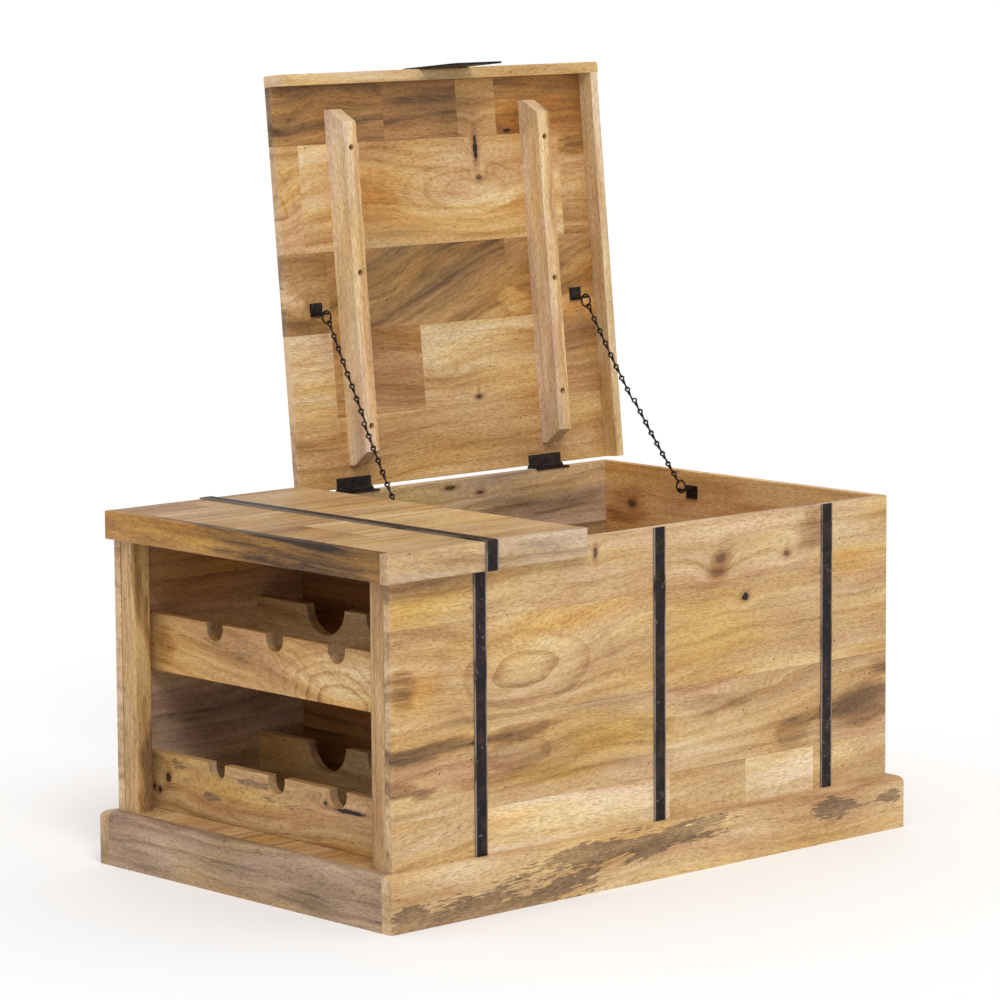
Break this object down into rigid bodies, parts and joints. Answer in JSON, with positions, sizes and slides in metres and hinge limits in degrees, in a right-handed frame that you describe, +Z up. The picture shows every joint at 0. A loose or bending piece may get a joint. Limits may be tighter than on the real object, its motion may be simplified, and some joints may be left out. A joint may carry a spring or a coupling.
{
  "type": "storage chest",
  "caption": "Wooden storage chest on a plinth, with an open-ended bottle rack under a fixed top, a hinged lid held by chains over the storage box, and iron straps on its front.",
  "frame": {"origin": "on the floor, under the middle of the box that holds the opened chest", "axes": "+X to the right seen from the front, away from the bottle rack; +Y to the back, where the lid is hinged; +Z up"},
  "size_m": [0.901, 0.6177, 1.0046],
  "materials": {
    "plinth_wood": "satin lacquered mango wood, grey-brown heartwood streaks",
    "panel_wood": "satin lacquered mango wood, boards glued edge to edge",
    "rack_wood": "satin lacquered mango wood",
    "top_wood": "satin lacquered mango wood, boards glued edge to edge",
    "lid_wood": "satin lacquered mango wood, boards glued edge to edge",
    "batten_wood": "satin lacquered pale wood",
    "strap_iron": "black painted wrought iron",
    "hinge_iron": "black painted iron",
    "chain_iron": "blackened wire",
    "nail_iron": "black painted iron",
    "screw_steel": "blackened steel"
  },
  "bodies": {
    "chest": {"plinth_front": "plinth_wood", "plinth_back": "plinth_wood", "plinth_left": "plinth_wood", "plinth_right": "plinth_wood", "floor_panel": "panel_wood", "front_panel": "panel_wood", "back_panel": "panel_wood", "right_end_panel": "panel_wood", "partition_panel": "panel_wood", "rack_post_front": "rack_wood", "rack_post_back": "rack_wood", "lower_neck_rail": "rack_wood", "upper_neck_rail": "rack_wood", "lower_body_rail": "rack_wood", "upper_body_rail": "rack_wood", "fixed_top_panel": "top_wood", "fixed_top_front_lip": "top_wood", "fixed_top_left_lip": "top_wood", "front_strap_left": "strap_iron", "front_strap_middle": "strap_iron", "front_strap_right": "strap_iron", "fixed_top_strap": "strap_iron", "strap_nails": "nail_iron", "hinge_left_body_leaf": "hinge_iron", "hinge_right_body_leaf": "hinge_iron", "hinge_left_pin": "hinge_iron", "hinge_right_pin": "hinge_iron", "hinge_body_screws": "screw_steel", "left_body_chain_anchor": "chain_iron", "right_body_chain_anchor": "chain_iron"},
    "lid": {"lid_panel": "lid_wood", "lid_front_lip": "lid_wood", "lid_right_lip": "lid_wood", "lid_batten_left": "batten_wood", "lid_batten_right": "batten_wood", "batten_screws": "screw_steel", "hinge_left_lid_leaf": "hinge_iron", "hinge_right_lid_leaf": "hinge_iron", "hinge_lid_screws": "screw_steel", "lid_pull_tab": "strap_iron", "lid_pull_tab_nails": "nail_iron", "left_lid_chain_anchor": "chain_iron", "right_lid_chain_anchor": "chain_iron"},
    "left_upper_chain": {"left_chain_upper_ring": "chain_iron", "left_chain_upper_links": "chain_iron"},
    "left_lower_chain": {"left_chain_lower_ring": "chain_iron", "left_chain_lower_links": "chain_iron"},
    "right_upper_chain": {"right_chain_upper_ring": "chain_iron", "right_chain_upper_links": "chain_iron"},
    "right_lower_chain": {"right_chain_lower_ring": "chain_iron", "right_chain_lower_links": "chain_iron"}
  },
  "joints": [
    {"name": "lid_hinge", "type": "hinge", "parent": "chest", "child": "lid", "pos_m": [0, 0.24273, 0.4436], "axis": [1, 0, 0], "range_deg": [0, 95.5]},
    {"name": "left_upper_chain_swing", "type": "hinge", "parent": "lid", "child": "left_upper_chain", "pos_m": [-0.0715, 0.24708, 0.68078], "axis": [1, 0, 0], "range_deg": [-54.2, 0]},
    {"name": "left_lower_chain_swing", "type": "hinge", "parent": "chest", "child": "left_lower_chain", "pos_m": [-0.1035, 0.05673, 0.42], "axis": [1, 0, 0], "range_deg": [-150.01, 0]},
    {"name": "right_upper_chain_swing", "type": "hinge", "parent": "lid", "child": "right_upper_chain", "pos_m": [0.3985, 0.24622, 0.67182], "axis": [1, 0, 0], "range_deg": [-55.91, 0]},
    {"name": "right_lower_chain_swing", "type": "hinge", "parent": "chest", "child": "right_lower_chain", "pos_m": [0.4015, 0.05673, 0.42], "axis": [1, 0, 0], "range_deg": [-146.48, 0]}
  ],
  "couplings": [
    {"joint": "left_upper_chain_swing", "follows": "lid_hinge", "ratio": -0.56232},
    {"joint": "left_lower_chain_swing", "follows": "lid_hinge", "ratio": -1.5655},
    {"joint": "right_upper_chain_swing", "follows": "lid_hinge", "ratio": -0.58025},
    {"joint": "right_lower_chain_swing", "follows": "lid_hinge", "ratio": -1.5286}
  ]
}
